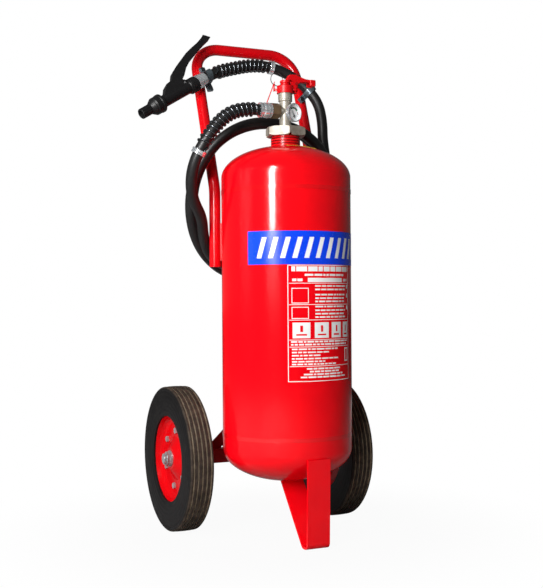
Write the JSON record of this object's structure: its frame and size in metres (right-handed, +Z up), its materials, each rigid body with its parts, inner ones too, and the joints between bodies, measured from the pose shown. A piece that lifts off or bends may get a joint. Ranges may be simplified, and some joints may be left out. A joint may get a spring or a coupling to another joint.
{
  "type": "wheeled fire extinguisher",
  "caption": "Wheeled dry powder fire extinguisher: steel cylinder on a two-wheel cart with a push handle, front foot, valve, gauge, looped hose and trigger nozzle.",
  "frame": {"origin": "on the floor, in the middle of the footprint of everything but the hose and its fittings", "axes": "+Z up, -Y towards the front with the foot and the printed band, +X to the viewer's right along the axle"},
  "size_m": [0.5556, 0.5054, 1.2019],
  "materials": {
    "red_paint": "glossy red paint over steel",
    "valve_brass": "dull cast and turned brass",
    "bright_steel": "zinc plated steel",
    "chromed": "bright plated",
    "black_plastic": "moulded, satin",
    "red_plastic": "moulded, glossy",
    "hose_rubber": "smooth black rubber",
    "tyre_rubber": "solid rubber",
    "seal_rubber": "matte",
    "dial_white": "printed dial",
    "clear_lens": "clear",
    "printed_film": "printed film, blue band and outlined panel"
  },
  "bodies": {
    "extinguisher": {"barrel": "red_paint", "top_dome": "red_paint", "bottom_dome": "red_paint", "seam_beads": "red_paint", "neck_collar": "red_paint", "union_nut": "valve_brass", "valve_body": "valve_brass", "neck_seal": "seal_rubber", "dip_tube": "bright_steel", "valve_cap": "red_paint", "lever_pin": "bright_steel", "valve_spring": "bright_steel", "tamper_seal": "red_plastic", "outlet_fitting": "valve_brass", "outlet_ferrule": "chromed", "gauge_case": "chromed", "gauge_dial": "dial_white", "gauge_lens": "clear_lens", "handle_tube": "red_paint", "handle_sockets": "red_paint", "socket_standoffs": "red_paint", "axle": "bright_steel", "axle_washers": "bright_steel", "axle_nuts": "bright_steel", "cotter_pins": "bright_steel", "axle_beam": "red_paint", "axle_gusset": "red_paint", "front_foot": "red_paint", "hose_outlet_run": "hose_rubber", "hose_coil": "hose_rubber", "hose_nozzle_run": "hose_rubber", "outlet_spring_guard": "bright_steel", "nozzle_spring_guard": "bright_steel", "guard_bands": "bright_steel", "nozzle_ferrule": "chromed", "nozzle_tail_nut": "black_plastic", "nozzle_body": "black_plastic", "trigger_pin": "bright_steel", "nozzle_collar": "black_plastic", "nozzle_tip": "black_plastic", "hose_clips": "bright_steel", "clip_bars": "bright_steel", "clip_bolts": "bright_steel", "printed_films": "printed_film"},
    "left_wheel": {"left_tyre": "tyre_rubber", "left_rim": "red_paint", "left_hub": "bright_steel", "left_rim_bolts": "bright_steel"},
    "right_wheel": {"right_tyre": "tyre_rubber", "right_rim": "red_paint", "right_hub": "bright_steel", "right_rim_bolts": "bright_steel"},
    "valve_lever": {"valve_lever": "red_paint"},
    "valve_stem": {"push_button": "red_plastic", "valve_stem": "valve_brass"},
    "safety_pin": {"safety_pin": "red_plastic"},
    "pull_ring": {"pull_ring": "bright_steel"},
    "gauge_pointer": {"gauge_pointer": "black_plastic"},
    "trigger": {"nozzle_trigger": "black_plastic"},
    "needle": {"nozzle_needle": "bright_steel"}
  },
  "joints": [
    {"name": "left_wheel_spin", "type": "hinge", "parent": "extinguisher", "child": "left_wheel", "pos_m": [-0.207, 0.08065, 0.172], "axis": [1, 0, 0], "continuous": true},
    {"name": "right_wheel_spin", "type": "hinge", "parent": "extinguisher", "child": "right_wheel", "pos_m": [0.207, 0.08065, 0.172], "axis": [1, 0, 0], "continuous": true},
    {"name": "valve_lever_lift", "type": "hinge", "parent": "extinguisher", "child": "valve_lever", "pos_m": [0.024, -0.09835, 1.052], "axis": [0, -1, 0], "range_deg": [0, 18], "stiffness_Nm_per_rad": 0.8, "springref_deg": -17.19},
    {"name": "valve_stem_press", "type": "slide", "parent": "extinguisher", "child": "valve_stem", "axis": [0, 0, -1], "range_m": [0, 0.007], "stiffness_N_per_m": 0.2, "springref_m": -1.662, "deforming": ["valve_spring"]},
    {"name": "safety_pin_pull", "type": "slide", "parent": "extinguisher", "child": "safety_pin", "axis": [-0.8415, 0.5402, 0], "range_m": [0, 0.045]},
    {"name": "pull_ring_swing", "type": "hinge", "parent": "safety_pin", "child": "pull_ring", "pos_m": [-0.02213, -0.08414, 1.0505], "axis": [-0.8829, 0, 0.4695], "range_deg": [0, 80]},
    {"name": "gauge_pointer_turn", "type": "hinge", "parent": "extinguisher", "child": "gauge_pointer", "pos_m": [0.0102, -0.12973, 0.9735], "axis": [0.309, -0.9511, 0], "range_deg": [-54, 33], "stiffness_Nm_per_rad": 0.0002},
    {"name": "trigger_squeeze", "type": "hinge", "parent": "extinguisher", "child": "trigger", "pos_m": [-0.19154, 0.06659, 1.06426], "axis": [0, 0.9379, -0.3469], "range_deg": [0, 20], "stiffness_Nm_per_rad": 0.8, "springref_deg": -17.19},
    {"name": "needle_slide", "type": "slide", "parent": "extinguisher", "child": "needle", "axis": [0.8406, 0.1879, 0.5081], "range_m": [0, 0.006]}
  ],
  "couplings": [
    {"joint": "valve_stem_press", "follows": "valve_lever_lift", "m_per_rad": 0.02228},
    {"joint": "needle_slide", "follows": "trigger_squeeze", "m_per_rad": 0.017189}
  ]
}
